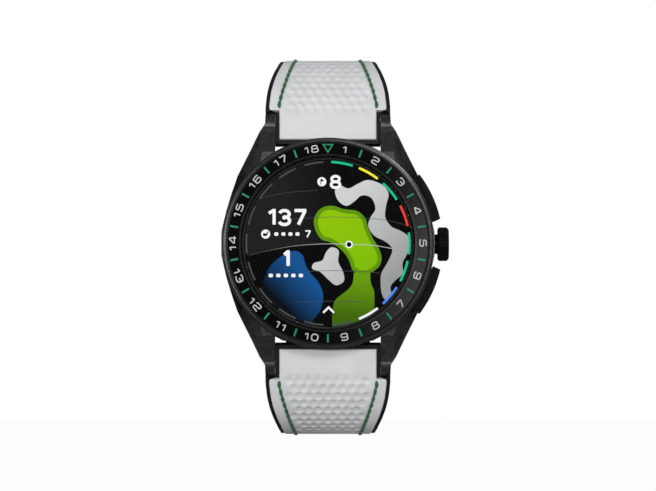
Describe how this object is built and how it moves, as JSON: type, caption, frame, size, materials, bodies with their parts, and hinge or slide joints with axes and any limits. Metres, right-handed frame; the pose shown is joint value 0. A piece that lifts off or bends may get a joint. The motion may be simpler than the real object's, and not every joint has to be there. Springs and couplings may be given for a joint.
{
  "type": "golf watch",
  "caption": "Round touch-screen golf watch with tapering lugs, side crown and pushers, on a curved white dimpled rubber strap closed by a folding butterfly clasp.",
  "frame": {"origin": "centre of the case back, on the outer face of its sensor window", "axes": "dial faces -Y, 12 o clock is +Z, the crown at 3 o clock is +X; the strap loop closes towards +Y"},
  "size_m": [0.0485, 0.0631, 0.0818],
  "materials": {
    "black_titanium": "matte",
    "black_ceramic": "satin",
    "sapphire": "polished",
    "black_seal": "matte",
    "screen": "gloss",
    "dark_plastic": "matte",
    "circuit_board": "satin",
    "steel": "satin",
    "spring_steel": "satin",
    "antenna_gold": "satin",
    "battery_foil": "satin",
    "sensor_glass": "polished",
    "white_rubber": "matte",
    "black_lining": "matte",
    "green_thread": "matte"
  },
  "bodies": {
    "case": {"case_body": "black_titanium", "bezel_ring": "black_titanium", "bezel_insert": "black_ceramic", "crystal": "sapphire", "crystal_gasket": "black_seal", "display_panel": "screen", "chassis": "dark_plastic", "main_board": "circuit_board", "shield_can": "steel", "gps_antenna": "antenna_gold", "battery": "battery_foil", "vibration_motor": "steel", "crown_tube": "black_titanium", "pusher_tubes": "black_titanium", "crown_sensor": "dark_plastic", "key_switches": "steel", "case_back": "black_titanium", "case_back_gasket": "black_seal", "case_back_screws": "steel", "sensor_window": "sensor_glass", "sensor_board": "circuit_board", "charging_contacts": "antenna_gold", "spring_bars": "steel", "crown_spring": "spring_steel", "pusher_top_spring": "spring_steel", "pusher_bottom_spring": "spring_steel"},
    "crown_carrier": {"crown_collar": "black_titanium"},
    "crown": {"crown_head": "black_titanium", "crown_stem": "steel", "crown_o_ring": "black_seal"},
    "pusher_top": {"pusher_top_head": "black_titanium", "pusher_top_stem": "steel", "pusher_top_o_ring": "black_seal"},
    "pusher_bottom": {"pusher_bottom_head": "black_titanium", "pusher_bottom_stem": "steel", "pusher_bottom_o_ring": "black_seal"},
    "strap_12": {"strap_12_outer": "white_rubber", "strap_12_lining": "black_lining", "strap_12_stitching": "green_thread", "strap_12_end": "black_titanium"},
    "strap_6": {"strap_6_outer": "white_rubber", "strap_6_lining": "black_lining", "strap_6_stitching": "green_thread", "strap_6_end": "black_titanium"},
    "arm_12": {"clasp_arm_12": "black_titanium", "clasp_bar_12": "steel"},
    "plate": {"clasp_plate": "black_titanium", "clasp_hinge_pins": "steel", "clasp_spring_left": "spring_steel", "clasp_spring_right": "spring_steel"},
    "arm_6": {"clasp_arm_6": "black_titanium", "clasp_bar_6": "steel"},
    "clasp_button_left": {"clasp_button_left": "black_titanium"},
    "clasp_button_right": {"clasp_button_right": "black_titanium"}
  },
  "joints": [
    {"name": "crown_press", "type": "slide", "parent": "case", "child": "crown_carrier", "axis": [-1, 0, 0], "range_m": [0, 0.00055], "stiffness_N_per_m": 900, "springref_m": -0.001, "deforming": ["crown_spring"]},
    {"name": "crown_turn", "type": "hinge", "parent": "crown_carrier", "child": "crown", "pos_m": [0.0246, -0.0056, 0], "axis": [1, 0, 0], "continuous": true},
    {"name": "pusher_top_press", "type": "slide", "parent": "case", "child": "pusher_top", "axis": [-0.9063, 0, -0.4226], "range_m": [0, 0.0006], "stiffness_N_per_m": 900, "springref_m": -0.001, "deforming": ["pusher_top_spring"]},
    {"name": "pusher_bottom_press", "type": "slide", "parent": "case", "child": "pusher_bottom", "axis": [-0.9063, 0, 0.4226], "range_m": [0, 0.0006], "stiffness_N_per_m": 900, "springref_m": -0.001, "deforming": ["pusher_bottom_spring"]},
    {"name": "strap_12_swing", "type": "hinge", "parent": "case", "child": "strap_12", "pos_m": [0, -0.0032, 0.0252], "axis": [1, 0, 0], "range_deg": [0, 18]},
    {"name": "clasp_open", "type": "hinge", "parent": "strap_12", "child": "arm_12", "pos_m": [0, 0.0479, 0.005], "axis": [1, 0, 0], "range_deg": [0, 75]},
    {"name": "plate_turn", "type": "hinge", "parent": "arm_12", "child": "plate", "pos_m": [0, 0.04224, 0.016], "axis": [1, 0, 0], "range_deg": [-93, 0]},
    {"name": "arm_6_turn", "type": "hinge", "parent": "plate", "child": "arm_6", "pos_m": [0, 0.04224, -0.016], "axis": [1, 0, 0], "range_deg": [-93, 0]},
    {"name": "strap_6_swing", "type": "hinge", "parent": "case", "child": "strap_6", "pos_m": [0, -0.0032, -0.0252], "axis": [1, 0, 0], "range_deg": [-18, 0]},
    {"name": "button_left_press", "type": "slide", "parent": "plate", "child": "clasp_button_left", "axis": [1, 0, 0], "range_m": [0, 0.0008], "stiffness_N_per_m": 500, "springref_m": -0.001, "deforming": ["clasp_spring_left"]},
    {"name": "button_right_press", "type": "slide", "parent": "plate", "child": "clasp_button_right", "axis": [-1, 0, 0], "range_m": [0, 0.0008], "stiffness_N_per_m": 500, "springref_m": -0.001, "deforming": ["clasp_spring_right"]}
  ],
  "couplings": [
    {"joint": "strap_12_swing", "follows": "clasp_open", "ratio": 0.24},
    {"joint": "plate_turn", "follows": "clasp_open", "ratio": -1.24},
    {"joint": "arm_6_turn", "follows": "clasp_open", "ratio": -1.24},
    {"joint": "strap_6_swing", "follows": "clasp_open", "ratio": -0.24}
  ]
}
